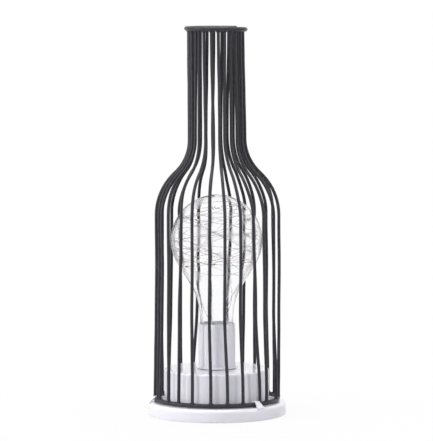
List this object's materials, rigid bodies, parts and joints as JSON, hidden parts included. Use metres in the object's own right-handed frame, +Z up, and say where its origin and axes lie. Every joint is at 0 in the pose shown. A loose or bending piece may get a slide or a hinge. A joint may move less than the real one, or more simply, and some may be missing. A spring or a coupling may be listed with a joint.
{
  "type": "fairy light lamp",
  "caption": "Battery table lamp: clear bulb with a coiled fairy string in a black bottle-shaped wire cage that clips onto a round white base with a battery bay and a slide switch.",
  "frame": {"origin": "middle of the underside, on the surface that the feet stand on", "axes": "+Z up along the lamp's axis; -Y is the front seen in the picture, +X its right"},
  "size_m": [0.0914, 0.0914, 0.2547],
  "materials": {
    "black_paint": "satin black paint on steel wire",
    "white_plastic": "gloss white moulding",
    "clear_shell": "clear thin shell",
    "string_wire": "thin enamelled wire",
    "cell_jacket": "plain printed jacket",
    "nickel": "bright nickel plate",
    "zinc_steel": "zinc plated",
    "rubber": "matt black rubber",
    "board_green": "solder-masked board",
    "lead_jacket": "white lead sleeve",
    "black_plastic": "black switch knob"
  },
  "bodies": {
    "lamp": {"cage_rim_ring": "black_paint", "cage_base_ring": "black_paint", "cage_wire_01": "black_paint", "cage_wire_02": "black_paint", "cage_wire_03": "black_paint", "cage_wire_04": "black_paint", "cage_wire_05": "black_paint", "cage_wire_06": "black_paint", "cage_wire_07": "black_paint", "cage_wire_08": "black_paint", "cage_wire_09": "black_paint", "cage_wire_10": "black_paint", "cage_wire_11": "black_paint", "cage_wire_12": "black_paint", "cage_wire_13": "black_paint", "cage_wire_14": "black_paint", "cage_wire_15": "black_paint", "cage_wire_16": "black_paint", "cage_wire_17": "black_paint", "cage_wire_18": "black_paint", "cage_wire_19": "black_paint", "cage_wire_20": "black_paint", "cage_wire_21": "black_paint", "cage_wire_22": "black_paint", "cage_wire_23": "black_paint", "cage_wire_24": "black_paint", "base_housing": "white_plastic", "bottom_cover": "white_plastic", "lamp_holder": "white_plastic", "bulb_plug": "white_plastic", "bulb_shell": "clear_shell", "fairy_string": "string_wire", "switch_body": "nickel", "circuit_board": "board_green", "string_lead": "lead_jacket", "cell_1": "cell_jacket", "contact_spring_1": "nickel", "contact_plate_1": "nickel", "cell_2": "cell_jacket", "contact_spring_2": "nickel", "contact_plate_2": "nickel", "cell_3": "cell_jacket", "contact_spring_3": "nickel", "contact_plate_3": "nickel", "cover_screw_1": "zinc_steel", "rubber_foot_1": "rubber", "cover_screw_2": "zinc_steel", "rubber_foot_2": "rubber", "cover_screw_3": "zinc_steel", "rubber_foot_3": "rubber", "cover_screw_4": "zinc_steel", "rubber_foot_4": "rubber"},
    "slider": {"switch_slider": "black_plastic"},
    "door": {"battery_door": "white_plastic"}
  },
  "joints": [
    {"name": "switch_slide", "type": "slide", "parent": "lamp", "child": "slider", "axis": [1, 0, 0], "range_m": [0, 0.003]},
    {"name": "battery_door_swing", "type": "hinge", "parent": "lamp", "child": "door", "pos_m": [-0.02745, 0, 0.0008], "axis": [0, 1, 0], "range_deg": [0, 90]}
  ]
}
